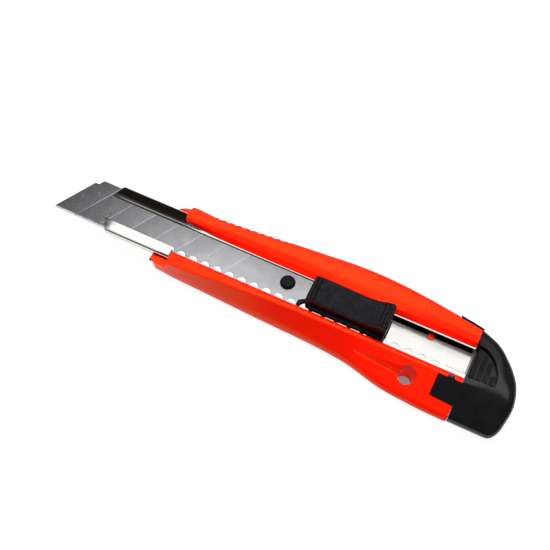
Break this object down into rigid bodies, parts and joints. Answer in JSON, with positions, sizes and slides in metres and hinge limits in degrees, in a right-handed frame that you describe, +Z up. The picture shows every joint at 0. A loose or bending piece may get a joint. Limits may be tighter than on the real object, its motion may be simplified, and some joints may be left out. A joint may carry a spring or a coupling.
{
  "type": "snap-off knife",
  "caption": "Utility knife with a scored snap-off blade on a locking thumb slider, in a steel channel inside a moulded handle with a pull-off end cap.",
  "frame": {"origin": "middle of the bounding box's underside, where the knife lies on a table", "axes": "+X runs from the blade's tip towards the end cap, +Y from the cutting edge towards the blade's back, +Z up from the underside to the thumb slider"},
  "size_m": [0.184, 0.0396, 0.0154],
  "materials": {
    "orange_abs": "satin moulded",
    "nickel_steel": "bright nickel plate",
    "blade_steel": "fine ground",
    "black_plastic": "pebble grained",
    "cap_plastic": "polished moulded"
  },
  "bodies": {
    "handle": {"handle_shell": "orange_abs", "blade_channel": "nickel_steel"},
    "slider": {"blade_carrier": "black_plastic", "blade_segment_1": "blade_steel", "blade_segment_2": "blade_steel", "blade_segment_3": "blade_steel", "blade_segment_4": "blade_steel", "blade_segment_5": "blade_steel", "blade_segment_6": "blade_steel", "blade_segment_7": "blade_steel", "blade_tail": "blade_steel", "lock_spring": "black_plastic"},
    "button": {"thumb_button": "black_plastic"},
    "cap": {"end_cap": "cap_plastic"}
  },
  "joints": [
    {"name": "slider_travel", "type": "slide", "parent": "handle", "child": "slider", "axis": [-1, 0, 0], "range_m": [-0.025, 0.05]},
    {"name": "button_shift", "type": "slide", "parent": "slider", "child": "button", "axis": [-1, 0, 0], "range_m": [-0.0015, 0.0015], "stiffness_N_per_m": 400, "deforming": ["lock_spring"]},
    {"name": "cap_pull", "type": "slide", "parent": "handle", "child": "cap", "axis": [1, 0, 0], "range_m": [0, 0.02]}
  ]
}
